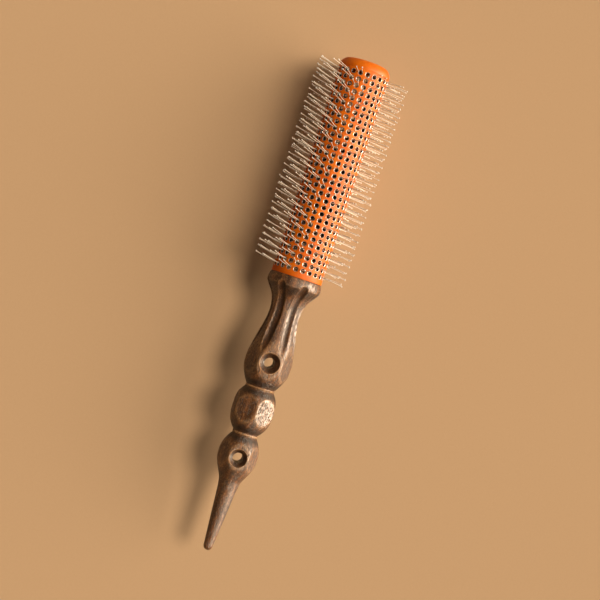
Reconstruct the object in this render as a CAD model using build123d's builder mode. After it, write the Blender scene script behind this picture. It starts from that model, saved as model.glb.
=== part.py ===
"""Round barrel hair brush: a turned wooden handle, a vented barrel with an end cap, and
ball-tipped filaments held by a twisted wire core. Millimetres, +X along the brush axis
towards the cap, +Z up, origin on the axis half way along the brush."""

import os
from math import asin, cos, degrees, radians, sin

from build123d import *

os.makedirs("parts", exist_ok=True)

# Barrel
barrel_diameter = 28.0
barrel_wall = 1.3
barrel_length = 116.2
column_count = 22
ring_count = 32
ring_pitch = 3.54
first_ring_from_seam = 4.1
vent_diameter = 2.3
barrel_roll = 4.5  # the turn of the first column about the axis, from +Z

# End cap
cap_height = 5.4
cap_edge_radius = 5.0
cap_register_length = 1.2
cap_end_wall = 1.6
cap_rim_wall = 1.8
cap_hub_wall = 2.0

# Wire core
wire_diameter = 1.5
wire_gap = 0.04
core_end_gap = 1.0  # from each end of the core to the floor of its socket
ferrule_wall = 0.95
ferrule_clearance = 0.05
handle_ferrule_length = 26.0

# Filaments
brush_diameter = 51.4
filament_diameter = 0.45
ball_diameter = 0.95
tuft_size = 2
root_clearance = 0.1
vent_side_clearance = 0.168  # from a filament to the nearest side of its vent
closest_root = 0.9  # from the axis, so that neighbouring roots stay apart
tuft_fan_sway = 0.15
tuft_lean = 1.2  # degrees towards the cap
tuft_lean_sway = 0.5

# Handle
handle_length = 154.2
spigot_length = 2.6
spigot_clearance = 0.05
collar_radius = 14.8
flute_count = 7
flute_radius = 2.7
flute_roll = 20.7
hang_hole_diameter = 5.8
hang_hole_overshoot = 3.0  # how far the hole's cutter stands past the flats
facet_count = 6

# Each bulb: where it stands below the seam, its flats' distance from the axis, and the
# turn of its first flat from +Z.
upper_bulb = {"from_seam": 47.9, "flat": 11.35, "roll": 0.0, "half_length": 14.0, "flare": 2.8}
middle_bulb = {"from_seam": 74.7, "flat": 10.55, "roll": 36.0, "half_length": 11.0}
lower_bulb = {"from_seam": 101.4, "flat": 9.6, "roll": 0.0, "half_length": 11.0, "flare": 2.1}

# Places along the axis
overall_length = handle_length + barrel_length + cap_height
seam = handle_length - overall_length / 2
barrel_end = seam + barrel_length
cap_end = barrel_end + cap_height
tail_end = seam - handle_length

# Radii that follow from the sizes above
barrel_radius = barrel_diameter / 2
barrel_bore = barrel_radius - barrel_wall
spigot_radius = barrel_bore - spigot_clearance
wire_radius = wire_diameter / 2
helix_radius = wire_radius + wire_gap / 2
core_radius = helix_radius + wire_radius
ferrule_bore = core_radius + ferrule_clearance
ferrule_radius = ferrule_bore + ferrule_wall
socket_radius = ferrule_radius + ferrule_clearance
vent_radius = vent_diameter / 2
hang_hole_radius = hang_hole_diameter / 2
tuft_reach = vent_radius - filament_diameter / 2 - vent_side_clearance
tuft_fan = degrees(asin(tuft_reach / barrel_radius))  # each side of the vent's middle
cap_socket_floor = cap_end - cap_end_wall
cap_inner_face = barrel_end - cap_register_length
core_pitch = 2 * ring_pitch  # one twist for each tuft along a column
handle_socket_depth = handle_ferrule_length - spigot_length
core_start = seam - handle_socket_depth + core_end_gap
core_length = cap_socket_floor - core_end_gap - core_start


def below_seam(distance, radius):
    """A point of a turned outline, in the XY plane."""
    return (seam - distance, radius)


def above_tail_end(distance, radius):
    """A point of the tail's outline, in the XY plane, measured from its end."""
    return (tail_end + distance, radius)


def ring_place(ring):
    """Where a ring of holes stands on the axis, counted from the handle."""
    return seam + first_ring_from_seam + ring * ring_pitch


def column_angle(column):
    """The turn of a column of holes about the axis, from +Z."""
    return barrel_roll + column * 360 / column_count


def wire_angle(place):
    """The turn of the first core wire about the axis, from +Z."""
    return 360 * (place - core_start) / core_pitch


def save(part, label):
    part.label = label
    export_step(part, f"parts/{label}.step")


# Wooden handle: a turned outline, then flats, flutes, hang holes and the core's socket.
with BuildPart() as flute_cutter:
    with BuildLine(Plane.XZ) as flute_path:
        Spline(
            below_seam(3.0, 18.6),
            below_seam(10.9, 12.6),
            below_seam(20.5, 9.8),
            below_seam(33.0, 11.65),
            below_seam(44.0, 15.8),
        )
    with BuildSketch(Plane(flute_path.line @ 0, z_dir=flute_path.line % 0)):
        Circle(flute_radius)
    sweep()

with BuildPart() as handle:
    with BuildSketch(Plane.XY):
        with BuildLine():
            collar = Polyline(
                below_seam(-spigot_length, 0),
                below_seam(-spigot_length, spigot_radius),
                below_seam(0, spigot_radius),
                below_seam(0, barrel_radius + 0.1),
            )
            ThreePointArc(collar @ 1, below_seam(3.2, collar_radius), below_seam(5.4, 14.65))
            waist = Spline(
                below_seam(5.4, 14.65),
                below_seam(10.9, 10.7),
                below_seam(20.5, 8.45),
                below_seam(34.0, 10.5),
                below_seam(47.6, 12.9),
                below_seam(56.7, 11.0),
                below_seam(62.0, 7.9),
            )
            upper_bead = ThreePointArc(waist @ 1, below_seam(62.5, 8.15), below_seam(63.0, 7.9))
            middle = Spline(
                upper_bead @ 1,
                below_seam(67.5, 10.7),
                below_seam(74.5, 12.3),
                below_seam(81.5, 10.9),
                below_seam(87.7, 6.8),
            )
            lower_bead = ThreePointArc(middle @ 1, below_seam(88.4, 7.1), below_seam(89.1, 6.8))
            tail = Spline(
                lower_bead @ 1,
                below_seam(94.4, 9.9),
                below_seam(100.5, 11.0),
                below_seam(107.9, 9.3),
                below_seam(114.0, 6.3),
                above_tail_end(30.2, 4.85),
                above_tail_end(14.0, 3.5),
                above_tail_end(2.2, 2.45),
            )
            tip = ThreePointArc(tail @ 1, above_tail_end(0.6, 1.7), above_tail_end(0, 0.6))
            Polyline(tip @ 1, below_seam(handle_length, 0), collar @ 0)
        make_face()
    revolve(axis=Axis.X)

    for bulb in (upper_bulb, middle_bulb, lower_bulb):
        with BuildSketch(Plane.YZ.offset(seam - bulb["from_seam"] - bulb["half_length"])):
            Circle(collar_radius + 1)
            RegularPolygon(
                bulb["flat"],
                facet_count,
                major_radius=False,
                rotation=bulb["roll"],
                mode=Mode.SUBTRACT,
            )
        extrude(amount=2 * bulb["half_length"], mode=Mode.SUBTRACT)

    with Locations(
        *[Location((0, 0, 0), (flute_roll + n * 360 / flute_count, 0, 0)) for n in range(flute_count)]
    ):
        add(flute_cutter.part, mode=Mode.SUBTRACT)

    for bulb in (upper_bulb, lower_bulb):
        hole_center = seam - bulb["from_seam"]
        mouth = bulb["flat"]
        flare = bulb["flare"]
        with BuildSketch(Plane.XZ):
            with BuildLine():
                Polyline(
                    (hole_center, mouth + hang_hole_overshoot),
                    (hole_center + hang_hole_radius + flare, mouth + hang_hole_overshoot),
                    (hole_center + hang_hole_radius + flare, mouth),
                    (hole_center + hang_hole_radius, mouth - flare),
                    (hole_center + hang_hole_radius, flare - mouth),
                    (hole_center + hang_hole_radius + flare, -mouth),
                    (hole_center + hang_hole_radius + flare, -mouth - hang_hole_overshoot),
                    (hole_center, -mouth - hang_hole_overshoot),
                    close=True,
                )
            make_face()
        revolve(axis=Axis((hole_center, 0, 0), (0, 0, 1)), mode=Mode.SUBTRACT)

    with Locations(Plane.YZ.offset(seam + spigot_length)):
        Hole(socket_radius, depth=spigot_length + handle_socket_depth)

save(handle.part, "handle")

# Barrel: a thin tube with rings of vents.
with BuildPart(Plane.XY.offset(barrel_bore - 0.5)) as vent_cutter:
    Cylinder(vent_radius, barrel_wall + 1, align=(Align.CENTER, Align.CENTER, Align.MIN))

with BuildPart() as barrel_tube:
    with BuildSketch(Plane.YZ.offset(seam)):
        Circle(barrel_radius)
        Circle(barrel_bore, mode=Mode.SUBTRACT)
    extrude(amount=barrel_length)
    with Locations(
        *[
            Location((ring_place(ring), 0, 0), (column_angle(column), 0, 0))
            for ring in range(ring_count)
            for column in range(column_count)
        ]
    ):
        add(vent_cutter.part, mode=Mode.SUBTRACT)

save(barrel_tube.part, "barrel_tube")

# End cap: a rounded cup that plugs the barrel, with a hub for the core.
with BuildPart() as end_cap:
    with BuildSketch(Plane.XY):
        with BuildLine():
            Polyline(
                (cap_end, 0),
                (cap_end, barrel_radius),
                (barrel_end, barrel_radius),
                (barrel_end, spigot_radius),
                (cap_inner_face, spigot_radius),
                (cap_inner_face, spigot_radius - cap_rim_wall),
                (cap_end - cap_end_wall, spigot_radius - cap_rim_wall),
                (cap_end - cap_end_wall, socket_radius + cap_hub_wall),
                (cap_inner_face, socket_radius + cap_hub_wall),
                (cap_inner_face, socket_radius),
                (cap_socket_floor, socket_radius),
                (cap_socket_floor, 0),
                close=True,
            )
        make_face()
    revolve(axis=Axis.X)
    fillet(end_cap.edges().filter_by(GeomType.CIRCLE).group_by(Axis.X)[-1], cap_edge_radius)

save(end_cap.part, "end_cap")

# Twisted core: two wires, gripped at each end by a steel ferrule.
for label, start_turn in (("core_wire_a", 0), ("core_wire_b", 180)):
    with BuildPart() as core_wire:
        with BuildLine() as twist:
            Helix(core_pitch, core_length, helix_radius, (core_start, 0, 0), (1, 0, 0))
        with BuildSketch(Plane(twist.line @ 0, z_dir=twist.line % 0)):
            Circle(wire_radius)
        sweep(is_frenet=True)
    save(core_wire.part.rotate(Axis.X, start_turn), label)

# Ferrules: short tubes that grip the core's ends.
for label, near_end, length in (
    ("handle_ferrule", seam + spigot_length - handle_ferrule_length, handle_ferrule_length),
    ("cap_ferrule", cap_inner_face, cap_socket_floor - ferrule_clearance - cap_inner_face),
):
    with BuildPart() as ferrule:
        with BuildSketch(Plane.YZ.offset(near_end)):
            Circle(ferrule_radius)
            Circle(ferrule_bore, mode=Mode.SUBTRACT)
        extrude(amount=length)
    save(ferrule.part, label)


def filament(root_radius):
    """One straight filament with a ball tip, standing along +Z from the core."""
    ball_radius = ball_diameter / 2
    ball_center = brush_diameter / 2 - ball_radius
    neck = ball_center - (ball_radius**2 - (filament_diameter / 2) ** 2) ** 0.5
    with BuildPart() as shape:
        with BuildSketch(Plane.XZ):
            with BuildLine():
                shaft = Polyline(
                    (0, root_radius),
                    (filament_diameter / 2, root_radius),
                    (filament_diameter / 2, neck),
                )
                ball = ThreePointArc(
                    shaft @ 1, (ball_radius, ball_center), (0, brush_diameter / 2)
                )
                Line(ball @ 1, shaft @ 0)
            make_face()
        revolve(axis=Axis.Z)
    return shape.part


def sway(ring, column, member, phase):
    """A repeatable unevenness from -1 to 1."""
    return sin(12.9 * ring + 78.2 * column + 37.7 * member + phase)


# Filaments: a splayed pair through every second hole, in alternate rings from column to column.
for column in range(column_count):
    filaments = []
    for member in range(tuft_size):
        side = member - (tuft_size - 1) / 2
        fan = 2 * tuft_fan * side
        wire_turn = radians(column_angle(column) + fan - wire_angle(ring_place(column % 2)))
        core_surface = 2 * helix_radius * abs(cos(wire_turn)) + root_clearance
        stem = filament(max(closest_root, core_surface))
        for ring in range(column % 2, ring_count, 2):
            fan_here = fan + tuft_fan_sway * sway(ring, column, member, 2)
            lean_here = tuft_lean + tuft_lean_sway * sway(ring, column, member, 0)
            place = Location((ring_place(ring), 0, 0))
            turn = Location((0, 0, 0), (column_angle(column) + fan_here, 0, 0))
            lean = Location((0, 0, 0), (0, lean_here, 0))
            filaments.append(stem.moved(place * turn * lean))
    bristle_column = Compound(children=filaments)
    save(bristle_column, f"bristle_column_{column + 1:02d}")
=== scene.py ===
import math

import bmesh
import bpy
import numpy as np
from mathutils import Matrix, Vector


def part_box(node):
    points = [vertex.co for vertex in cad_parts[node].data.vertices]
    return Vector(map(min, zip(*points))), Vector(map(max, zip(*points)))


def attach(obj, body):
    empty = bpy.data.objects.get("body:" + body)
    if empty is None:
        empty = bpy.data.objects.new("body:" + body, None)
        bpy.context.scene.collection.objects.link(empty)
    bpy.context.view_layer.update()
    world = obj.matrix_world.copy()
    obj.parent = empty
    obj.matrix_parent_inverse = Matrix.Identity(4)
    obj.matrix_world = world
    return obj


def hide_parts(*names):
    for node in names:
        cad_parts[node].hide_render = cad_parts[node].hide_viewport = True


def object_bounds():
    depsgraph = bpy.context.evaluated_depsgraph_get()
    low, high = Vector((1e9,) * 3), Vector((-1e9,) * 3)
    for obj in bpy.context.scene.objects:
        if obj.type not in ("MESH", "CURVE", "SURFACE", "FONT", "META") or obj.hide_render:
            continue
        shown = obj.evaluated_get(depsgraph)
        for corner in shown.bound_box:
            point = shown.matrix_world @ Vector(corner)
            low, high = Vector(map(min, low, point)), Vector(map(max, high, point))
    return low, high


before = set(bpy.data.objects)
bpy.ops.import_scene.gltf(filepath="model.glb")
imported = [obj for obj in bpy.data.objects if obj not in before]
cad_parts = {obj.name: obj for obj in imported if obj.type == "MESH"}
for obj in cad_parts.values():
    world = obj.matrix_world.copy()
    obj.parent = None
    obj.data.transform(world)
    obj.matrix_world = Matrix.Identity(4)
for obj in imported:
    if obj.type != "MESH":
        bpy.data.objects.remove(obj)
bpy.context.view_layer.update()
print("frame loaded:", len(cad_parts), "nodes")

mm = 0.001
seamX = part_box("barrel_tube")[0][0]  # where the wood meets the barrel
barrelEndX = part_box("barrel_tube")[1][0]
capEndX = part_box("end_cap")[1][0]
barrelRadius = (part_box("barrel_tube")[1][2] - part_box("barrel_tube")[0][2]) / 2
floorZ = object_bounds()[0][2]
scene = bpy.context.scene


# Helpers that turn rows of points into pieces.

def makePiece(name, points, faces, sharpAngle=40, materialIndex=None):
    mesh = bpy.data.meshes.new(name)
    mesh.from_pydata(np.asarray(points).tolist(), [], [list(f) for f in faces])
    mesh.update()
    if materialIndex is not None:
        mesh.polygons.foreach_set("material_index", np.asarray(materialIndex, dtype=np.int32))
    mesh.shade_smooth()
    mesh.set_sharp_from_angle(angle=math.radians(sharpAngle))
    piece = bpy.data.objects.new(name, mesh)
    scene.collection.objects.link(piece)
    return piece


def corners(piece):
    places = np.empty(len(piece.data.vertices) * 3)
    piece.data.vertices.foreach_get("co", places)
    return places.reshape(-1, 3)


def paintValues(piece, name, values):
    layer = piece.data.attributes.new(name, "FLOAT", "POINT")
    layer.data.foreach_set("value", np.asarray(values, dtype=np.float32))


def ringFaces(ringCount, sides, start=0):
    # quads between neighbouring rings of a lathe-like grid
    ring, side = np.meshgrid(np.arange(ringCount - 1), np.arange(sides), indexing="ij")
    ahead = (side + 1) % sides
    quads = np.stack(
        [ring * sides + side, ring * sides + ahead, (ring + 1) * sides + ahead, (ring + 1) * sides + side],
        axis=-1,
    )
    return quads.reshape(-1, 4) + start


def latheAlongX(name, outline, sides, sharpAngle=40):
    # outline: (x, radius) from the axis, round the section and back to the axis
    outline = np.array(outline)
    angle = np.arange(sides) * 2 * math.pi / sides
    x = np.repeat(outline[:, 0:1], sides, axis=1)
    y = -outline[:, 1:2] * np.sin(angle)
    z = outline[:, 1:2] * np.cos(angle)
    points = np.stack([x, y, z], axis=-1).reshape(-1, 3)
    last = (len(outline) - 1) * sides
    faces = [list(quad) for quad in ringFaces(len(outline), sides)]
    faces += [list(range(sides))[::-1], list(range(last, last + sides))]
    return makePiece(name, points, faces, sharpAngle)


def faceOutward(piece):
    work = bmesh.new()
    work.from_mesh(piece.data)
    bmesh.ops.recalc_face_normals(work, faces=work.faces)
    work.to_mesh(piece.data)
    work.free()


# Shader groups that several finishes share.

def newGroup(name, inputs, outputs):
    group = bpy.data.node_groups.new(name, "ShaderNodeTree")
    for label, kind, value in inputs:
        socket = group.interface.new_socket(label, in_out="INPUT", socket_type=kind)
        if value is not None:
            socket.default_value = value
    for label, kind in outputs:
        group.interface.new_socket(label, in_out="OUTPUT", socket_type=kind)
    return group, group.nodes.new("NodeGroupInput"), group.nodes.new("NodeGroupOutput")


def addNode(tree, kind, settings=None, **values):
    node = tree.nodes.new(kind)
    for label, value in (settings or {}).items():
        setattr(node, label, value)
    for label, value in values.items():
        node.inputs[label.replace("_", " ")].default_value = value
    return node


def calculate(tree, operation, first, second=None, third=None, clamp=False):
    node = tree.nodes.new("ShaderNodeMath")
    node.operation = operation
    node.use_clamp = clamp
    for socket, value in zip(node.inputs, (first, second, third)):
        if value is None:
            continue
        if isinstance(value, (int, float)):
            socket.default_value = value
        else:
            tree.links.new(value, socket)
    return node.outputs[0]


def spread(tree, value, low, high, toLow=0.0, toHigh=1.0):
    node = addNode(tree, "ShaderNodeMapRange", {"interpolation_type": "SMOOTHSTEP"})
    node.inputs["From Min"].default_value = low
    node.inputs["From Max"].default_value = high
    node.inputs["To Min"].default_value = toLow
    node.inputs["To Max"].default_value = toHigh
    tree.links.new(value, node.inputs["Value"])
    return node.outputs["Result"]


def mixColour(tree, mask, first, second, blend="MIX"):
    node = tree.nodes.new("ShaderNodeMix")
    node.data_type = "RGBA"
    node.blend_type = blend
    for socket, value in ((node.inputs[0], mask), (node.inputs[6], first), (node.inputs[7], second)):
        if isinstance(value, tuple):
            socket.default_value = (*value, 1)
        elif isinstance(value, (int, float)):
            socket.default_value = value
        else:
            tree.links.new(value, socket)
    return node.outputs[2]


def noise(tree, place, scale, detail=4.0, roughness=0.55, distortion=0.0):
    node = addNode(tree, "ShaderNodeTexNoise", Scale=scale, Detail=detail, Roughness=roughness,
                   Distortion=distortion)
    tree.links.new(place, node.inputs["Vector"])
    return node.outputs["Fac"]


def stretched(tree, place, scale, shift=(0, 0, 0)):
    node = addNode(tree, "ShaderNodeMapping", Scale=scale, Location=shift)
    tree.links.new(place, node.inputs["Vector"])
    return node.outputs["Vector"]


def buildHandlingWear():
    # a mask of fine smudges and rubbed patches, for colour and roughness
    group, given, result = newGroup(
        "handlingWear",
        [("Place", "NodeSocketVector", None), ("Patch Size", "NodeSocketFloat", 60.0),
         ("Speckle Size", "NodeSocketFloat", 900.0), ("Contrast", "NodeSocketFloat", 0.5)],
        [("Mask", "NodeSocketFloat"), ("Speckle", "NodeSocketFloat")],
    )
    patches = addNode(group, "ShaderNodeTexNoise", Detail=3.0, Roughness=0.6, Distortion=0.4)
    group.links.new(given.outputs["Place"], patches.inputs["Vector"])
    group.links.new(given.outputs["Patch Size"], patches.inputs["Scale"])
    speckles = addNode(group, "ShaderNodeTexNoise", Detail=2.0, Roughness=0.5)
    group.links.new(given.outputs["Place"], speckles.inputs["Vector"])
    group.links.new(given.outputs["Speckle Size"], speckles.inputs["Scale"])
    centred = calculate(group, "SUBTRACT", patches.outputs["Fac"], 0.5)
    scaled = calculate(group, "MULTIPLY", centred, given.outputs["Contrast"])
    widened = calculate(group, "MULTIPLY_ADD", scaled, 2.0, 0.5, clamp=True)
    group.links.new(widened, result.inputs["Mask"])
    group.links.new(speckles.outputs["Fac"], result.inputs["Speckle"])
    return group


def buildEdgeRub():
    # breaks a painted edge value up with noise, so that wear is uneven
    group, given, result = newGroup(
        "edgeRub",
        [("Place", "NodeSocketVector", None), ("Edge", "NodeSocketFloat", 0.0),
         ("Break Up", "NodeSocketFloat", 300.0), ("Amount", "NodeSocketFloat", 0.5)],
        [("Mask", "NodeSocketFloat")],
    )
    chips = addNode(group, "ShaderNodeTexNoise", Detail=5.0, Roughness=0.65)
    group.links.new(given.outputs["Place"], chips.inputs["Vector"])
    group.links.new(given.outputs["Break Up"], chips.inputs["Scale"])
    reach = calculate(group, "MULTIPLY_ADD", chips.outputs["Fac"], 1.6, -0.3)
    worn = calculate(group, "MULTIPLY", given.outputs["Edge"], reach)
    group.links.new(calculate(group, "MULTIPLY", worn, given.outputs["Amount"], clamp=True),
                    result.inputs["Mask"])
    return group


def buildDust():
    # pale dust that settles on what faces up
    group, given, result = newGroup(
        "settledDust",
        [("Place", "NodeSocketVector", None), ("Amount", "NodeSocketFloat", 0.1)],
        [("Mask", "NodeSocketFloat")],
    )
    facing = group.nodes.new("ShaderNodeSeparateXYZ")
    surface = group.nodes.new("ShaderNodeNewGeometry")
    group.links.new(surface.outputs["Normal"], facing.inputs["Vector"])
    specks = addNode(group, "ShaderNodeTexNoise", Scale=1500.0, Detail=3.0, Roughness=0.7)
    group.links.new(given.outputs["Place"], specks.inputs["Vector"])
    upward = spread(group, facing.outputs["Z"], 0.1, 1.0)
    scattered = spread(group, specks.outputs["Fac"], 0.52, 0.75)
    amount = calculate(group, "MULTIPLY", upward, given.outputs["Amount"])
    group.links.new(calculate(group, "MULTIPLY", amount, scattered, clamp=True), result.inputs["Mask"])
    return group


handlingWear = buildHandlingWear()
edgeRub = buildEdgeRub()
settledDust = buildDust()
print("shader groups built")


def useGroup(tree, group, **values):
    node = tree.nodes.new("ShaderNodeGroup")
    node.node_tree = group
    for label, value in values.items():
        socket = node.inputs[label.replace("_", " ")]
        if isinstance(value, (int, float)):
            socket.default_value = value
        else:
            tree.links.new(value, socket)
    return node


def newFinish(name):
    finish = bpy.data.materials.new(name)
    finish.use_nodes = True
    tree = finish.node_tree
    return finish, tree, tree.nodes["Principled BSDF"], addNode(tree, "ShaderNodeTexCoord").outputs["Object"]


def attribute(tree, name):
    node = addNode(tree, "ShaderNodeAttribute", {"attribute_name": name})
    return node.outputs["Fac"]


def roughen(tree, shader, height, strength, distance):
    bump = addNode(tree, "ShaderNodeBump", Strength=strength, Distance=distance)
    tree.links.new(height, bump.inputs["Height"])
    tree.links.new(bump.outputs["Normal"], shader.inputs["Normal"])


# The handle: a turned outline with flats, flutes and two flared holes, in millimetres.

handleShape = {
    "rowSpacing": 0.27,
    "sides": 216,
    "topRadius": barrelRadius / mm + 0.05,
    "collar": [(0.0, 14.05), (1.5, 14.5), (3.2, 14.8), (4.6, 14.82), (5.5, 14.6)],
    "waist": [(5.5, 14.6), (8.2, 12.65), (10.9, 10.7), (13.6, 9.45), (16.8, 8.75), (21.7, 8.5),
              (27.1, 9.1), (33.0, 10.3), (40.0, 11.75), (47.6, 12.9), (52.5, 12.5), (56.7, 11.0),
              (60.0, 9.2), (62.0, 7.9)],
    "upperBead": [(62.0, 7.9), (62.5, 8.2), (63.0, 7.9)],
    "middle": [(63.0, 7.9), (65.2, 9.4), (67.5, 10.7), (71.0, 11.95), (74.6, 12.3), (78.2, 11.9),
               (81.5, 10.8), (84.5, 9.3), (86.5, 7.9), (87.7, 6.8)],
    "lowerBead": [(87.7, 6.8), (88.4, 7.1), (89.1, 6.8)],
    "tail": [(89.1, 6.8), (91.7, 8.5), (94.4, 9.8), (97.5, 10.7), (100.6, 11.0), (104.0, 10.6),
             (107.9, 9.3), (111.0, 7.75), (114.0, 6.3), (118.5, 5.4), (124.0, 4.85), (132.0, 4.2),
             (140.2, 3.5), (147.0, 2.9), (154.2, 2.3)],
    "tipLength": 2.6,
    "flats": 6,
    "flatBulbs": [  # from, to, flat's distance from the axis, turn of the first flat from up, softness
        (20.0, 62.4, 11.35, 0.0, 0.7),
        (62.6, 88.3, 10.55, 36.0, 0.45),
        (88.5, 116.0, 9.6, 0.0, 0.6),
    ],
    "flutes": 7,
    "fluteTurn": 20.7,
    "fluteRadius": 2.9,
    "flutePath": [(3.0, 18.6), (7.0, 15.4), (10.9, 12.6), (15.5, 10.6), (20.5, 9.8), (26.5, 10.3),
                  (33.0, 11.65), (38.0, 13.3), (44.0, 15.8)],  # the middle of the gouge
    "fluteSoftness": 0.5,
    "holes": [(47.9, 11.35, 2.8), (101.4, 9.6, 2.1)],  # place, flat's distance, flare of the mouth
    "holeRadius": 2.9,
    "spigotRadius": barrelRadius / mm - 1.35,
    "spigotLength": 2.6,
    "socketRadius": 2.57,
    "socketDepth": 23.4,
    "beads": [62.5, 88.4],  # the middle of each bead
    "cutterReach": 22.0,  # past the wood on both sides
}


beyondWood = 99.0  # stands for no cut at all


def curveThrough(knots, at):
    place, value = np.array(knots).T
    slope = np.gradient(value, place)
    span = np.clip(np.searchsorted(place, at, side="right") - 1, 0, len(place) - 2)
    width = place[span + 1] - place[span]
    t = (at - place[span]) / width
    return (
        (1 + 2 * t) * (1 - t) ** 2 * value[span]
        + t * (1 - t) ** 2 * width * slope[span]
        + t * t * (3 - 2 * t) * value[span + 1]
        + t * t * (t - 1) * width * slope[span + 1]
    )


def turnedRadius(s):
    radius = np.zeros_like(s)
    for part in ("collar", "waist", "upperBead", "middle", "lowerBead", "tail"):
        knots = handleShape[part]
        inside = (s >= knots[0][0]) & (s <= knots[-1][0])
        radius[inside] = curveThrough(knots, s[inside])
    length = handleShape["tail"][-1][0]
    tip = np.clip((s - length + handleShape["tipLength"]) / handleShape["tipLength"], 0, 1)
    return radius * np.sqrt(np.clip(1 - tip**2.4, 0, 1))


def softLeast(a, b, width):
    share = np.clip(0.5 + 0.5 * (b - a) / width, 0, 1)
    return b + (a - b) * share - width * share * (1 - share)


def nearestTurn(angle, count, first):
    step = 2 * math.pi / count
    return (angle - math.radians(first) + step / 2) % step - step / 2


def flatRadius(s, angle):
    # how far out the flats let the wood reach, and how softly their edges are rounded
    reach = np.full(s.shape, beyondWood)
    softness = np.full(s.shape, 1.0)
    for begin, end, distance, first, soft in handleShape["flatBulbs"]:
        inside = (s >= begin) & (s <= end)
        turn = nearestTurn(angle[inside], handleShape["flats"], first)
        reach[inside] = distance / np.cos(turn)
        softness[inside] = soft
    return reach, softness


def fluteRadius(s, angle):
    # the near wall of a round gouge that is drawn along the waist
    begin, end = handleShape["flutePath"][0][0], handleShape["flutePath"][-1][0]
    at = np.clip(s, begin, end)
    centre = curveThrough(handleShape["flutePath"], at)
    climb = (curveThrough(handleShape["flutePath"], at + 0.05) - centre) / 0.05
    gouge = handleShape["fluteRadius"]
    tall = gouge * np.sqrt(1 + climb**2)
    turn = nearestTurn(angle, handleShape["flutes"], handleShape["fluteTurn"])
    first = np.cos(turn) ** 2 / tall**2 + np.sin(turn) ** 2 / gouge**2
    second = -2 * centre * np.cos(turn) / tall**2
    third = centre**2 / tall**2 - 1
    inside = second**2 - 4 * first * third
    near = (-second - np.sqrt(np.clip(inside, 0, None))) / (2 * first)
    return np.where((inside > 0) & (s > begin) & (s < end), near, beyondWood)


def woodRadius(s, angle):
    turned = turnedRadius(s)
    flats, softness = flatRadius(s, angle)
    shaped = softLeast(turned, flats, softness)
    return softLeast(shaped, fluteRadius(s, angle), handleShape["fluteSoftness"])


def carveHandle():
    sides, length = handleShape["sides"], handleShape["tail"][-1][0]
    angle = np.arange(sides) * 2 * math.pi / sides
    tipStart = length - handleShape["tipLength"]
    rows = np.arange(0.35, tipStart, handleShape["rowSpacing"])
    tipTurn = np.linspace(0, math.pi / 2, 22)[:-1]
    rows = np.concatenate([rows, tipStart + handleShape["tipLength"] * np.sin(tipTurn)])
    s = np.repeat(rows[:, None], sides, axis=1)
    radius = woodRadius(s.ravel(), np.tile(angle, len(rows))).reshape(s.shape)
    inner = [
        (handleShape["socketDepth"], handleShape["socketRadius"]),
        (-handleShape["spigotLength"], handleShape["socketRadius"]),
        (-handleShape["spigotLength"], handleShape["spigotRadius"] - 0.2),
        (-handleShape["spigotLength"] + 0.2, handleShape["spigotRadius"]),
        (0.0, handleShape["spigotRadius"]),
        (0.0, handleShape["topRadius"] - 0.35),
        (0.1, handleShape["topRadius"] - 0.1),
    ]
    innerS = np.repeat(np.array([i[0] for i in inner])[:, None], sides, axis=1)
    innerR = np.repeat(np.array([i[1] for i in inner])[:, None], sides, axis=1)
    s, radius = np.concatenate([innerS, s]), np.concatenate([innerR, radius])
    turn = np.tile(angle, (len(s), 1))
    points = np.stack(
        [seamX - s * mm, -radius * mm * np.sin(turn), radius * mm * np.cos(turn)], axis=-1
    ).reshape(-1, 3)
    faces = [list(quad) for quad in ringFaces(len(s), sides)]
    last = (len(s) - 1) * sides
    tip = len(points)
    points = np.vstack([points, [seamX - length * mm, 0, 0]])
    faces += [[last + (k + 1) % sides, last + k, tip] for k in range(sides)]
    faces.append(list(range(sides)))
    piece = makePiece("handleWood", points, faces)
    faceOutward(piece)
    return piece


def holeCutter(place, flat, flare):
    # a spool: straight in the middle, with a countersunk cone at each mouth
    bore, sides, reach = handleShape["holeRadius"], 96, handleShape["cutterReach"]
    mouth = [(bore + flare * share, flat - flare + flare * share**1.25) for share in np.linspace(0, 1, 7)]
    upper = [(bore + flare, reach)] + mouth[::-1]
    outline = upper + [(r, -z) for r, z in reversed(upper)]
    angle = np.arange(sides) * 2 * math.pi / sides
    points = [
        (seamX - place * mm + r * mm * math.cos(a), r * mm * math.sin(a), z * mm)
        for r, z in outline
        for a in angle
    ]
    last = (len(outline) - 1) * sides
    faces = [list(quad) for quad in ringFaces(len(outline), sides)]
    faces += [list(range(sides)), list(range(last, last + sides))[::-1]]
    cutter = makePiece("holeCutter", points, faces)
    faceOutward(cutter)
    return cutter


def cutAway(piece, cutter):
    cut = piece.modifiers.new("cut", "BOOLEAN")
    cut.operation = "DIFFERENCE"
    cut.solver = "EXACT"
    cut.object = cutter
    bpy.context.view_layer.objects.active = piece
    bpy.ops.object.modifier_apply(modifier=cut.name)
    bpy.data.objects.remove(cutter)


handleWearAndShade = {
    "flatEdge": (0.6, 0.5),  # how strong the wear is, and how far it reaches
    "fluteEdge": (0.9, 0.35),
    "collarEdge": (0.7, 0.4),
    "beadEdge": (1.6, 0.55),
    "mouthEdge": (1.3, 0.3),
    "collarPlace": 5.0,
    "fluteShade": 0.4,
    "fluteDepth": 1.1,
    "throatShade": (0.7, 2.2),  # painted shade below the collar
    "throatPlace": 7.5,
    "neckOffset": 2.6,  # from a bead to the painted shade of the neck on either side of it
    "neckReach": 1.8,
    "holeShade": 0.65,
    "cleanDepth": 1.2,  # no edge wear deeper than this
}


def fading(distance, reach):
    return np.exp(-((distance / reach) ** 2))


def worn(kind, distance):
    strength, reach = handleWearAndShade[kind]
    return strength * fading(distance, reach)


# Paints edge wear, and painted shade in the flutes, below the collar, in the necks beside the beads and down
# the holes.
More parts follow.
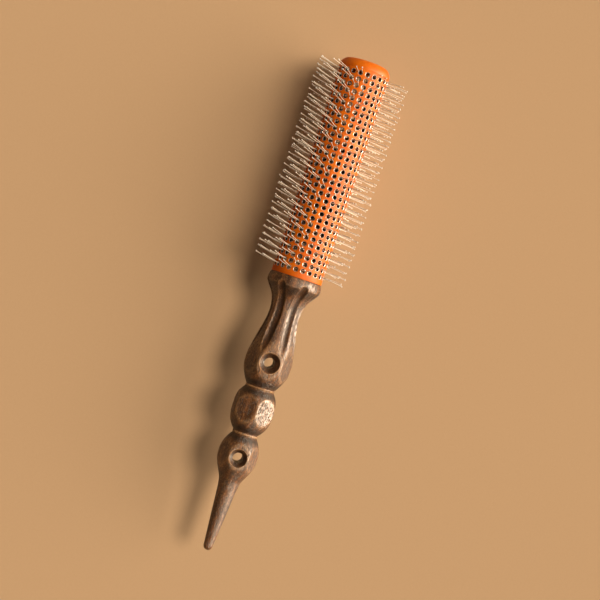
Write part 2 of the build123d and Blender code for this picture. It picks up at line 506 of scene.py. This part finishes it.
def paintHandleWearAndShade(piece):
    places = corners(piece) / mm
    s = seamX / mm - places[:, 0]
    angle = np.arctan2(-places[:, 1], places[:, 2])
    radius = np.hypot(places[:, 1], places[:, 2])
    turned = turnedRadius(np.clip(s, 0, None))
    flats, softness = flatRadius(s, angle)
    flutes = fluteRadius(s, angle)
    surface = softLeast(turned, flats, softness)
    edge = worn("flatEdge", turned - flats)
    edge = np.maximum(edge, worn("fluteEdge", surface - flutes))
    edge = np.maximum(edge, worn("collarEdge", s - handleWearAndShade["collarPlace"]) * (flutes > turned))
    # the recess value is painted shade: darker deeper in the flutes, below the collar, in the necks and down
    # the holes
    recessShade = handleWearAndShade["fluteShade"] * np.clip((surface - radius) / handleWearAndShade["fluteDepth"], 0, 1)
    recessShade = np.maximum(recessShade, worn("throatShade", s - handleWearAndShade["throatPlace"]))
    for neck in handleShape["beads"]:
        beside = np.abs(s - neck) - handleWearAndShade["neckOffset"]
        recessShade = np.maximum(recessShade, fading(beside, handleWearAndShade["neckReach"]))
        edge = np.maximum(edge, worn("beadEdge", s - neck))
        recessShade = recessShade * (1 - fading(s - neck, handleWearAndShade["beadEdge"][1]))
    for place, flat, flare in handleShape["holes"]:
        across = np.hypot(s - place, places[:, 1])
        mouth = handleShape["holeRadius"] + flare
        facing = np.abs(places[:, 2]) > flat * 0.6
        edge = np.maximum(edge, worn("mouthEdge", across - mouth) * facing)
        # deep marks the hole's cone and bore, which get painted shade
        deep = np.clip((mouth - 0.15 - across) / 0.9, 0, 1) * (np.abs(places[:, 2]) < flat - 0.1)
        recessShade = np.maximum(recessShade, handleWearAndShade["holeShade"] * deep)
        edge = edge * (1 - 0.8 * deep)
    paintValues(piece, "edge", edge * (radius > surface - handleWearAndShade["cleanDepth"]))
    paintValues(piece, "recessShade", recessShade)


woodLook = {
    "dark": (0.012, 0.004, 0.0013),
    "middle": (0.11, 0.033, 0.008),
    "light": (0.37, 0.145, 0.046),
    "worn": (0.75, 0.42, 0.18),
    "dust": (0.6, 0.5, 0.4),
    "roughness": 0.36,
}


def stainedWood():
    finish, tree, shader, place = newFinish("stainedWood")
    streaks = noise(tree, stretched(tree, place, (38, 900, 900)), 1.0, 6.0, 0.6, 0.3)
    broad = noise(tree, stretched(tree, place, (14, 130, 130), (3, 1, 2)), 1.0, 3.0, 0.5, 0.6)
    rings = addNode(tree, "ShaderNodeTexWave", {"wave_type": "RINGS", "rings_direction": "X"},
                    Scale=95.0, Distortion=3.5, Detail=3.0, Detail_Scale=1.3)
    tree.links.new(stretched(tree, place, (0.35, 1, 1), (0, 0.021, 0.008)), rings.inputs["Vector"])
    pores = noise(tree, stretched(tree, place, (520, 1900, 1900)), 1.0, 3.0, 0.65)
    porous = spread(tree, pores, 0.5, 0.64)
    flecks = spread(tree, noise(tree, stretched(tree, place, (700, 2300, 2300), (5, 2, 7)), 1.0, 2.0, 0.6),
                    0.52, 0.68)
    figure = calculate(tree, "MULTIPLY_ADD", rings.outputs["Fac"], 0.34, streaks)
    figure = calculate(tree, "MULTIPLY_ADD", broad, 0.55, figure)
    base = mixColour(tree, spread(tree, figure, 0.6, 1.3), woodLook["dark"], woodLook["middle"])
    base = mixColour(tree, spread(tree, figure, 0.95, 1.5), base, woodLook["light"])
    wear = useGroup(tree, edgeRub, Place=place, Edge=attribute(tree, "edge"), Break_Up=420.0, Amount=0.75)
    base = mixColour(tree, wear.outputs["Mask"], base, woodLook["worn"])
    handled = useGroup(tree, handlingWear, Place=place, Patch_Size=70.0, Speckle_Size=1400.0, Contrast=0.9)
    rubbed = calculate(tree, "MULTIPLY", handled.outputs["Mask"], 0.3)
    base = mixColour(tree, rubbed, base, woodLook["light"])
    base = mixColour(tree, calculate(tree, "MULTIPLY", flecks, 0.35), base, woodLook["worn"])
    # painted shade: the wood is darkened in the flutes, the throat, the necks and the holes
    base = mixColour(tree, calculate(tree, "MULTIPLY", attribute(tree, "recessShade"), 0.85), base,
                     woodLook["dark"])
    base = mixColour(tree, calculate(tree, "MULTIPLY", porous, 0.8), base, woodLook["dark"])
    dusty = useGroup(tree, settledDust, Place=place, Amount=0.1)
    base = mixColour(tree, dusty.outputs["Mask"], base, woodLook["dust"])
    tree.links.new(base, shader.inputs["Base Color"])
    gloss = calculate(tree, "MULTIPLY_ADD", handled.outputs["Mask"], -0.18, woodLook["roughness"] + 0.06)
    gloss = calculate(tree, "MULTIPLY_ADD", porous, 0.2, gloss)
    tree.links.new(calculate(tree, "MULTIPLY_ADD", streaks, 0.12, gloss, clamp=True),
                   shader.inputs["Roughness"])
    shader.inputs["Specular IOR Level"].default_value = 0.65
    grainHeight = calculate(tree, "MULTIPLY_ADD", porous, -1.2, streaks)
    roughen(tree, shader, grainHeight, 0.5, 0.00028)
    return finish


handleWood = carveHandle()
for place, flat, flare in handleShape["holes"]:
    cutAway(handleWood, holeCutter(place, flat, flare))
handleWood.data.shade_smooth()
handleWood.data.set_sharp_from_angle(angle=math.radians(35))
paintHandleWearAndShade(handleWood)
handleWood.data.materials.append(stainedWood())
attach(handleWood, "root")
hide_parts("handle")
print("handle carved:", len(handleWood.data.polygons), "faces")


# The barrel: a tube of square cells, each with a chamfered hole.

barrelShape = {
    "columns": 22,
    "rings": 32,
    "ringPitch": 3.54,
    "firstRing": 4.1,
    "turn": 4.5,  # of the first column from up
    "wall": 1.3,
    "holeRadius": 1.15,
    "chamfer": 0.16,
    "cellSides": 8,  # points along each side of a cell
    "endRound": 0.12,
}


def wrapOntoBarrel(along, around, radius):
    # along the axis and round the surface, in millimetres, to a place in the frame
    angle = around / (barrelRadius / mm)
    return np.stack(
        [seamX + along * mm, -radius * mm * np.sin(angle), radius * mm * np.cos(angle)], axis=-1
    )


def cellOutline():
    # a cell's border, from its corner, as shares of its half sizes
    step = np.arange(barrelShape["cellSides"]) / barrelShape["cellSides"] * 2 - 1
    one = np.ones_like(step)
    return np.concatenate([
        np.stack([step, -one], axis=1),
        np.stack([one, step], axis=1),
        np.stack([-step, one], axis=1),
        np.stack([-one, -step], axis=1),
    ])


def buildBarrel():
    outer, wall = barrelRadius / mm, barrelShape["wall"]
    columns, rings, pitch = barrelShape["columns"], barrelShape["rings"], barrelShape["ringPitch"]
    cellWidth = 2 * math.pi * outer / columns
    border = cellOutline() * [pitch / 2, cellWidth / 2]
    sides = len(border)
    turn = np.arctan2(border[:, 1], border[:, 0])
    circle = np.stack([np.cos(turn), np.sin(turn)], axis=1)
    hole, chamfer = barrelShape["holeRadius"], barrelShape["chamfer"]
    wide = hole + chamfer
    # finish 2 is painted shade: the hole walls and the tube's inside are made near black
    levels = [  # offsets in a cell, radius, finish of the faces that start there
        (border, outer, 0),
        (0.5 * border + 0.5 * circle * wide, outer, 0),
        (circle * wide, outer, 1),
        (circle * (hole + 0.3 * chamfer), outer - 0.5 * chamfer, 1),
        (circle * hole, outer - chamfer, 1),
        (circle * hole, outer - chamfer - 0.12, 2),
        (circle * hole, outer - wall + 0.1, 2),
        (circle * (hole + 0.1), outer - wall, 2),
        (border, outer - wall, 2),
    ]
    cellFaces = ringFaces(len(levels), sides)
    cellFinish = np.repeat([level[2] for level in levels[:-1]], sides)
    points, faces, finishes = [], [], []
    count = 0
    for ring in range(rings):
        for column in range(columns):
            middle = (barrelShape["firstRing"] + ring * pitch,
                      math.radians(barrelShape["turn"]) * outer + column * cellWidth)
            for offsets, radius, _ in levels:
                points.append(wrapOntoBarrel(middle[0] + offsets[:, 0], middle[1] + offsets[:, 1],
                                             np.full(sides, radius)))
            faces.append(cellFaces + count)
            finishes.append(cellFinish)
            count += len(levels) * sides
    edgeSteps = columns * barrelShape["cellSides"]
    around = (np.arange(edgeSteps) / barrelShape["cellSides"] - 0.5) * cellWidth
    around = around + math.radians(barrelShape["turn"]) * outer
    length = (barrelEndX - seamX) / mm
    lowCell = barrelShape["firstRing"] - pitch / 2
    highCell = barrelShape["firstRing"] + (rings - 0.5) * pitch
    soft = barrelShape["endRound"]
    for end, start, inward in ((0.0, lowCell, 1), (length, highCell, -1)):
        bands = [
            (start, outer, 0), ((start + end) / 2, outer, 0), (end + inward * soft, outer, 0),
            (end + inward * 0.3 * soft, outer - 0.3 * soft, 0), (end, outer - soft, 1),
            (end, outer - wall, 2), (start, outer - wall, 2),
        ]
        for along, radius, _ in bands:
            points.append(wrapOntoBarrel(np.full(edgeSteps, along), around,
                                         np.full(edgeSteps, radius)))
        faces.append(ringFaces(len(bands), edgeSteps) + count)
        finishes.append(np.repeat([band[2] for band in bands[:-1]], edgeSteps))
        count += len(bands) * edgeSteps
    faces = np.concatenate(faces)
    piece = makePiece("barrelTube", np.concatenate(points), faces,
                      materialIndex=np.concatenate(finishes))
    work = bmesh.new()
    work.from_mesh(piece.data)
    bmesh.ops.remove_doubles(work, verts=work.verts, dist=0.004 * mm)
    bmesh.ops.recalc_face_normals(work, faces=work.faces)
    work.to_mesh(piece.data)
    work.free()
    piece.data.shade_smooth()
    piece.data.set_sharp_from_angle(angle=math.radians(38))
    return piece


def paintRims(piece):
    # how near each point of the outside is to the rim of its hole: 1 on the rim
    places = corners(piece) / mm
    outer = barrelRadius / mm
    cellWidth = 2 * math.pi * outer / barrelShape["columns"]
    along = places[:, 0] - seamX / mm - barrelShape["firstRing"]
    pitch = barrelShape["ringPitch"]
    inRow = (along > -pitch / 2) & (along < (barrelShape["rings"] - 0.5) * pitch)
    along = (along + pitch / 2) % pitch - pitch / 2
    angle = np.arctan2(-places[:, 1], places[:, 2]) - math.radians(barrelShape["turn"])
    around = (angle * outer + cellWidth / 2) % cellWidth - cellWidth / 2
    away = np.hypot(along, around) - barrelShape["holeRadius"] - barrelShape["chamfer"]
    paintValues(piece, "rim", np.clip(1 - away / 0.55, 0, 1) * inRow)


coatLook = {
    "colour": (0.87, 0.2, 0.004),
    "deep": (0.7, 0.12, 0.003),
    "faded": (0.95, 0.34, 0.02),
    "dust": (0.9, 0.55, 0.25),
    "bareMetal": (0.62, 0.6, 0.58),
    "roughness": 0.55,
    "texture": 1900.0,
}


def orangeCoat(name, look):
    finish, tree, shader, place = newFinish(name)
    handled = useGroup(tree, handlingWear, Place=place, Patch_Size=85.0, Speckle_Size=2400.0, Contrast=0.8)
    base = mixColour(tree, spread(tree, handled.outputs["Mask"], 0.2, 0.9), look["deep"], look["colour"])
    speckle = spread(tree, handled.outputs["Speckle"], 0.5, 0.8)
    base = mixColour(tree, calculate(tree, "MULTIPLY", speckle, 0.35), base, look["faded"])
    dusty = useGroup(tree, settledDust, Place=place, Amount=0.07)
    base = mixColour(tree, dusty.outputs["Mask"], base, look["dust"])
    gloss = calculate(tree, "MULTIPLY_ADD", handled.outputs["Mask"], -0.12, look["roughness"] + 0.06)
    gloss = calculate(tree, "MULTIPLY_ADD", dusty.outputs["Mask"], 0.6, gloss)
    peel = noise(tree, place, look["texture"], 2.0, 0.45)
    return finish, tree, shader, place, base, gloss, peel


def ceramicCoat():
    finish, tree, shader, place, base, gloss, peel = orangeCoat("orangeCeramicCoat", coatLook)
    chips = useGroup(tree, edgeRub, Place=place, Edge=attribute(tree, "rim"), Break_Up=2600.0, Amount=1.3)
    bare = spread(tree, chips.outputs["Mask"], 0.55, 0.75)
    base = mixColour(tree, bare, base, coatLook["bareMetal"])
    tree.links.new(base, shader.inputs["Base Color"])
    tree.links.new(bare, shader.inputs["Metallic"])
    tree.links.new(calculate(tree, "MULTIPLY_ADD", bare, 0.05, gloss, clamp=True),
                   shader.inputs["Roughness"])
    shader.inputs["Specular IOR Level"].default_value = 0.2
    height = calculate(tree, "MULTIPLY_ADD", bare, -0.6, peel)
    roughen(tree, shader, height, 0.22, 0.00012)
    return finish


def cutAluminium():
    # the bare metal of the hole rims and the tube's ends
    finish, tree, shader, place = newFinish("cutAluminium")
    marks = noise(tree, stretched(tree, place, (2600, 700, 700)), 1.0, 4.0, 0.6)
    handled = useGroup(tree, handlingWear, Place=place, Patch_Size=220.0, Speckle_Size=3000.0, Contrast=1.0)
    base = mixColour(tree, marks, (0.5, 0.49, 0.47), (0.83, 0.82, 0.8))
    tarnish = calculate(tree, "MULTIPLY", handled.outputs["Mask"], 0.35)
    base = mixColour(tree, tarnish, base, (0.4, 0.36, 0.32))
    tree.links.new(base, shader.inputs["Base Color"])
    shader.inputs["Metallic"].default_value = 1.0
    tree.links.new(calculate(tree, "MULTIPLY_ADD", marks, 0.25, 0.28), shader.inputs["Roughness"])
    roughen(tree, shader, marks, 0.25, 0.00008)
    return finish


def barrelInsideShade():
    # the tube's inside and the hole walls, painted near black as painted shade so that the vents look dark
    finish, tree, shader, place = newFinish("barrelInsideShade")
    stains = noise(tree, place, 260.0, 4.0, 0.6)
    tree.links.new(mixColour(tree, stains, (0.004, 0.003, 0.0025), (0.03, 0.022, 0.017)),
                   shader.inputs["Base Color"])
    tree.links.new(calculate(tree, "MULTIPLY_ADD", stains, 0.3, 0.5), shader.inputs["Roughness"])
    roughen(tree, shader, stains, 0.2, 0.0001)
    return finish


barrelTube = buildBarrel()
paintRims(barrelTube)
bareMetal = cutAluminium()
barrelTube.data.materials.append(ceramicCoat())
barrelTube.data.materials.append(bareMetal)
# painted shade on the hole walls and the tube's inside
barrelTube.data.materials.append(barrelInsideShade())
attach(barrelTube, "root")
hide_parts("barrel_tube")
print("barrel pierced:", len(barrelTube.data.polygons), "faces")


# The end cap: a rounded cup with a hub.

capShape = {
    "edgeRadius": 5.0,
    "crown": 0.3,  # how far the middle of the end stands proud of its rim
    "seamRound": 0.12,
    "register": 1.2,
    "rimWall": 1.8,
    "endWall": 1.6,
    "socketRadius": 2.57,
    "hubWall": 2.0,
    "sides": 160,
}


def buildCap():
    outer, start, end = barrelRadius / mm, barrelEndX / mm, capEndX / mm
    plug = outer - barrelShape["wall"] - 0.05
    bend, soft = capShape["edgeRadius"], capShape["seamRound"]
    inner = start - capShape["register"]
    floor = end - capShape["endWall"]
    outline = [(end, r) for r in (0.05, 3.0, 6.0)]
    for t in np.linspace(0, math.pi / 2, 15):
        outline.append((end - bend + bend * math.cos(t), outer - bend + bend * math.sin(t)))
    outline = [(x - capShape["crown"] * (r / outer) ** 4 * (x > end - 0.4), r) for x, r in outline]
    outline += [(start + soft, outer), (start, outer - soft), (start, plug), (inner + 0.2, plug),
                (inner, plug - 0.2), (inner, plug - capShape["rimWall"]),
                (floor, plug - capShape["rimWall"]),
                (floor, capShape["socketRadius"] + capShape["hubWall"]),
                (inner, capShape["socketRadius"] + capShape["hubWall"]),
                (inner, capShape["socketRadius"]), (floor, capShape["socketRadius"]), (floor, 0.05)]
    piece = latheAlongX("endCap", [(x * mm, r * mm) for x, r in outline], capShape["sides"], 50)
    faceOutward(piece)
    return piece


capLook = {
    "colour": (0.88, 0.2, 0.004),
    "deep": (0.74, 0.13, 0.003),
    "faded": (0.95, 0.34, 0.02),
    "dust": (0.9, 0.55, 0.25),
    "roughness": 0.5,
    "texture": 1300.0,
}


def capPlastic():
    finish, tree, shader, _, base, gloss, peel = orangeCoat("orangeCapPlastic", capLook)
    tree.links.new(base, shader.inputs["Base Color"])
    tree.links.new(gloss, shader.inputs["Roughness"])
    shader.inputs["Specular IOR Level"].default_value = 0.25
    roughen(tree, shader, peel, 0.15, 0.0001)
    return finish


endCap = buildCap()
endCap.data.materials.append(capPlastic())
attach(endCap, "root")
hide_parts("end_cap")
print("cap made")


# The core and ferrules keep their own shapes and get drawn and turned steel.

def drawnSteel(name, along, tint):
    finish, tree, shader, place = newFinish(name)
    lines = noise(tree, stretched(tree, place, (along, 2600, 2600)), 1.0, 4.0, 0.6)
    handled = useGroup(tree, handlingWear, Place=place, Patch_Size=160.0, Speckle_Size=2800.0, Contrast=0.9)
    base = mixColour(tree, lines, tuple(0.65 * c for c in tint), tint)
    base = mixColour(tree, calculate(tree, "MULTIPLY", handled.outputs["Mask"], 0.3), base,
                     (0.2, 0.17, 0.14))
    tree.links.new(base, shader.inputs["Base Color"])
    shader.inputs["Metallic"].default_value = 1.0
    tree.links.new(calculate(tree, "MULTIPLY_ADD", lines, 0.25, 0.22), shader.inputs["Roughness"])
    roughen(tree, shader, lines, 0.2, 0.00006)
    return finish


coreSteel = drawnSteel("drawnCoreWire", 120, (0.6, 0.59, 0.58))
ferruleSteel = drawnSteel("turnedFerrule", 3000, (0.66, 0.65, 0.63))
for node, steel in (("core_wire_a", coreSteel), ("core_wire_b", coreSteel),
                    ("handle_ferrule", ferruleSteel), ("cap_ferrule", ferruleSteel)):
    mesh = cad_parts[node].data
    mesh.materials.clear()
    mesh.materials.append(steel)
print("core finished")


# The filaments: two through every second hole, splayed and slightly bent.

tuftShape = {
    "perTuft": 2,
    "radius": 0.175,
    "ballRadius": 0.4,
    "ballSetting": 0.4,  # from a filament's end to the middle of its ball
    "rootRadius": 1.05,
    "tipRadius": 25.6,
    "tipScatter": 0.25,
    "fan": 3.2,  # degrees about the axis, each side of the hole's middle
    "fanScatter": 0.25,
    "lean": 1.2,  # degrees towards the cap, inside the barrel
    "leanScatter": 0.25,
    "bendFrom": 13.0,  # radius where a filament starts to bend
    "capwardBend": 2.5,  # degrees more towards the cap, outside the barrel
    "sweep": 8.0,  # degrees that use has brushed one side to the cap, the other to the handle
    "bendScatter": 1.0,
    "curl": 0.07,
    "sides": 8,
    "steps": 13,
    "ballSteps": 7,
}


def filamentSpine(rng, along, member, angle):
    # places along one filament as (along the axis, round, out), in millimetres
    shape = tuftShape
    tip = shape["tipRadius"] + rng.normal(0, shape["tipScatter"]) - shape["ballRadius"]
    reach = np.linspace(shape["rootRadius"], tip - shape["ballSetting"], shape["steps"])
    side = (-1) ** member
    fan = math.radians(side * shape["fan"] + rng.normal(0, shape["fanScatter"]))
    lean = math.radians(shape["lean"] + rng.normal(0, shape["leanScatter"]))
    past = np.clip(reach - shape["bendFrom"], 0, None)
    whole = tip - shape["bendFrom"]
    swept = shape["capwardBend"] - shape["sweep"] * math.sin(angle)
    swayAlong = math.radians(swept + rng.normal(0, shape["bendScatter"]))
    swayRound = math.radians(rng.normal(0, shape["bendScatter"]))
    curl = rng.normal(0, shape["curl"], 2)
    eased = past * (0.55 + 0.45 * past / whole)
    alongAxis = along + reach * math.tan(lean) + eased * math.tan(swayAlong)
    alongAxis = alongAxis + curl[0] * np.sin(math.pi * past / whole)
    round_ = reach * math.tan(fan) + eased * math.tan(swayRound) + curl[1] * np.sin(math.pi * past / whole)
    return np.stack([alongAxis, round_, reach], axis=1)


def buildTufts(column):
    shape = tuftShape
    rng = np.random.default_rng(4100 + column)
    angle = math.radians(barrelShape["turn"]) + column * 2 * math.pi / barrelShape["columns"]
    axis = np.array([1.0, 0, 0])
    out = np.array([0, -math.sin(angle), math.cos(angle)])
    round_ = np.array([0, -math.cos(angle), -math.sin(angle)])
    turn = np.arange(shape["sides"]) * 2 * math.pi / shape["sides"]
    ballTurn = np.linspace(0.5, math.pi - 0.12, shape["ballSteps"])
    points, faces, tones, tips, barrelShadeMarks = [], [], [], [], []
    count = 0
    for ring in range(column % 2, barrelShape["rings"], 2):
        along = seamX / mm + barrelShape["firstRing"] + ring * barrelShape["ringPitch"]
        for member in range(shape["perTuft"]):
            spine = filamentSpine(rng, along, member, angle)
            middle = spine @ np.stack([axis, round_, out])
            heading = middle[-1] - middle[-2]
            heading = heading / np.linalg.norm(heading)
            across = axis - heading * (axis @ heading)
            across = across / np.linalg.norm(across)
            beside = np.cross(heading, across)
            ballMiddle = middle[-1] + heading * shape["ballSetting"]
            size = shape["ballRadius"] * rng.uniform(0.93, 1.05)
            ball = ballMiddle - heading * size * np.cos(ballTurn)[:, None]
            middles = np.concatenate([middle, ball])
            radii = np.concatenate([np.full(len(middle), shape["radius"]), size * np.sin(ballTurn)])
            rim = np.cos(turn)[:, None] * across + np.sin(turn)[:, None] * beside
            points.append((middles[:, None, :] + radii[:, None, None] * rim).reshape(-1, 3) * mm)
            quads = ringFaces(len(middles), shape["sides"], count)
            last = count + (len(middles) - 1) * shape["sides"]
            faces += quads.tolist()
            faces.append(list(range(count, count + shape["sides"]))[::-1])
            faces.append(list(range(last, last + shape["sides"])))
            count += len(middles) * shape["sides"]
            tones.append(np.full(len(middles) * shape["sides"], rng.uniform()))
            ballHere = np.concatenate([np.zeros(len(middle)), np.ones(len(ball))])
            tips.append(np.repeat(ballHere, shape["sides"]))
            # painted shade: a filament is darkened where it runs inside the barrel
            shadeInBarrel = np.clip((barrelRadius / mm - 0.2 - middles @ out) / 1.2, 0, 1)
            barrelShadeMarks.append(np.repeat(shadeInBarrel, shape["sides"]))
    piece = makePiece(f"bristles{column + 1:02d}", np.concatenate(points), faces, 60)
    faceOutward(piece)
    paintValues(piece, "tone", np.concatenate(tones))
    paintValues(piece, "tip", np.concatenate(tips))
    paintValues(piece, "root", np.concatenate(barrelShadeMarks))
    return piece


nylonLook = {
    "pale": (0.93, 0.87, 0.78),
    "amber": (0.9, 0.8, 0.68),
    "ball": (0.97, 0.94, 0.9),
    "root": (0.05, 0.032, 0.02),  # painted shade on the filaments inside the barrel
    "clearness": 0.12,
}


def nylon():
    finish, tree, shader, place = newFinish("nylonBristle")
    tone = attribute(tree, "tone")
    cloud = noise(tree, place, 700.0, 2.0)
    mixed = calculate(tree, "MULTIPLY_ADD", cloud, 0.5, calculate(tree, "MULTIPLY", tone, 0.6), clamp=True)
    base = mixColour(tree, mixed, nylonLook["pale"], nylonLook["amber"])
    base = mixColour(tree, calculate(tree, "MULTIPLY", attribute(tree, "tip"), 0.85), base,
                     nylonLook["ball"])
    # painted shade on the filaments inside the barrel
    base = mixColour(tree, attribute(tree, "root"), base, nylonLook["root"])
    tree.links.new(base, shader.inputs["Base Color"])
    tree.links.new(calculate(tree, "MULTIPLY_ADD", cloud, 0.25, 0.25), shader.inputs["Roughness"])
    shader.inputs["Transmission Weight"].default_value = nylonLook["clearness"]
    shader.inputs["IOR"].default_value = 1.53
    shader.inputs["Specular IOR Level"].default_value = 0.5
    roughen(tree, shader, cloud, 0.1, 0.00004)
    return finish


bristleNylon = nylon()
for column in range(barrelShape["columns"]):
    tufts = buildTufts(column)
    tufts.data.materials.append(bristleNylon)
    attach(tufts, "root")
    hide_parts(f"bristle_column_{column + 1:02d}")
print("filaments set")


# The floor, lights and camera.

studio = {
    "floorColour": (0.56, 0.385, 0.24),
    "keyFrom": (0.2, -0.68, 1.32),
    "keySpread": 21.0,  # degrees of sky that the soft light fills
    "keyPower": 2.4,
    "lowFrom": (0.25, -1.1, 0.42),
    "lowSpread": 55.0,
    "lowPower": 3.6,
    "gleamFrom": (0.1, -0.85, 0.24),
    "gleamSpread": 31.0,
    "gleamPower": 10.0,
    "keyColour": (1.0, 0.82, 0.61),
    "worldColour": (0.95, 0.86, 0.78),
    "worldStrength": 0.02,
    "cameraLean": 5.0,  # degrees about the brush axis
    "cameraRoll": 18.26,  # degrees that the brush leans in the frame
    "cameraDistance": 0.948,
    "lens": 105.6,
    "aim": (0.0055, -0.00565, 0.0),
}


def paleFloor():
    finish, tree, shader, place = newFinish("paleFloor")
    fibres = noise(tree, place, 900.0, 3.0)
    clouds = noise(tree, place, 6.0, 2.0)
    base = mixColour(tree, fibres, studio["floorColour"], tuple(0.94 * c for c in studio["floorColour"]))
    base = mixColour(tree, calculate(tree, "MULTIPLY", clouds, 0.1), base,
                     tuple(0.85 * c for c in studio["floorColour"]))
    tree.links.new(base, shader.inputs["Base Color"])
    shader.inputs["Roughness"].default_value = 0.85
    shader.inputs["Specular IOR Level"].default_value = 0.0
    roughen(tree, shader, fibres, 0.1, 0.0001)
    return finish


def softLight(name, place, spreadAngle, power, colour):
    lamp = bpy.data.lights.new(name, "SUN")
    lamp.angle = math.radians(spreadAngle)
    lamp.energy = power
    lamp.color = colour
    holder = bpy.data.objects.new(name, lamp)
    holder.location = place
    holder.rotation_euler = (-Vector(place)).to_track_quat("-Z", "Y").to_euler()
    scene.collection.objects.link(holder)
    return holder


def setStudio():
    half = 40.0
    floor = makePiece("floor", [(-half, -half, floorZ), (half, -half, floorZ), (half, half, floorZ),
                                (-half, half, floorZ)], [(0, 1, 2, 3)])
    floor.data.materials.append(paleFloor())
    for name in ("key", "low", "gleam"):
        lamp = softLight(f"{name}Light", studio[f"{name}From"], studio[f"{name}Spread"],
                         studio[f"{name}Power"], studio["keyColour"])
    lamp.visible_diffuse = False
    world = bpy.data.worlds.new("studioAir")
    world.use_nodes = True
    air = world.node_tree.nodes["Background"]
    air.inputs["Color"].default_value = (*studio["worldColour"], 1)
    air.inputs["Strength"].default_value = studio["worldStrength"]
    scene.world = world
    scene.view_settings.view_transform = "Standard"


def setCamera():
    lean, roll = math.radians(studio["cameraLean"]), math.radians(studio["cameraRoll"])
    back = Vector((0, math.sin(lean), math.cos(lean)))
    across = Vector((0, math.cos(lean), -math.sin(lean)))
    up = Vector((1, 0, 0)) * math.cos(roll) + across * math.sin(roll)
    right = up.cross(back)
    lens = bpy.data.cameras.new("camera")
    lens.lens = studio["lens"]
    lens.sensor_width = 36
    lens.clip_end = 10
    camera = bpy.data.objects.new("camera", lens)
    spot = Vector(studio["aim"]) + back * studio["cameraDistance"]
    camera.matrix_world = Matrix.Translation(spot) @ Matrix((right, up, back)).transposed().to_4x4()
    scene.collection.objects.link(camera)
    scene.camera = camera


setStudio()
setCamera()
print("studio set")
